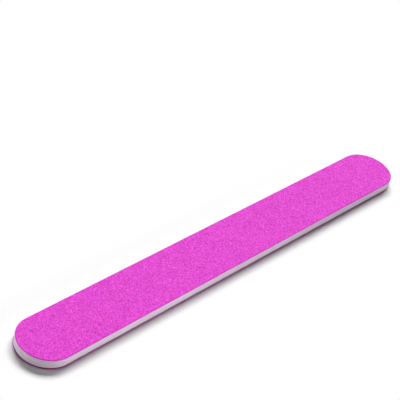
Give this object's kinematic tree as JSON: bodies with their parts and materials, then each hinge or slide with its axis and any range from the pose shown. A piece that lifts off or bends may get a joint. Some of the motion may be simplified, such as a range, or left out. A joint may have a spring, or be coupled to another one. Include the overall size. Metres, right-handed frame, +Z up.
{
  "type": "emery board",
  "caption": "Straight emery board with round ends: magenta abrasive paper over a white foam core that holds a thin plastic stiffener.",
  "frame": {"origin": "centre of the underside, which is the face of finer grain that the board lies on", "axes": "+X along the board's length, +Y across its width, +Z up out of the face of coarser grain"},
  "size_m": [0.178, 0.019, 0.0036],
  "materials": {
    "coarse_grain": "coarse abrasive grain under a dyed magenta resin coat, dry and gritty, with small glints",
    "fine_grain": "finer abrasive grain under the same dyed magenta resin coat",
    "make_coat": "cured tinted resin, seen only as a thin line at the cut edge",
    "backing_paper": "latex-filled paper, cut edge faintly tinted by the coloured coat",
    "adhesive_film": "clear acrylic adhesive on a thin film, seen only as a hairline at the cut edge",
    "foam": "white closed-cell foam with a matte, finely porous die-cut edge",
    "stiffener": "white sheet plastic with a smooth sheared edge"
  },
  "bodies": {
    "root": {"bottom_grain": "fine_grain", "bottom_make_coat": "make_coat", "bottom_paper": "backing_paper", "bottom_adhesive": "adhesive_film", "lower_foam": "foam", "lower_core_adhesive": "adhesive_film", "centre_stiffener": "stiffener", "upper_core_adhesive": "adhesive_film", "upper_foam": "foam", "top_adhesive": "adhesive_film", "top_paper": "backing_paper", "top_make_coat": "make_coat", "top_grain": "coarse_grain"}
  },
  "joints": []
}
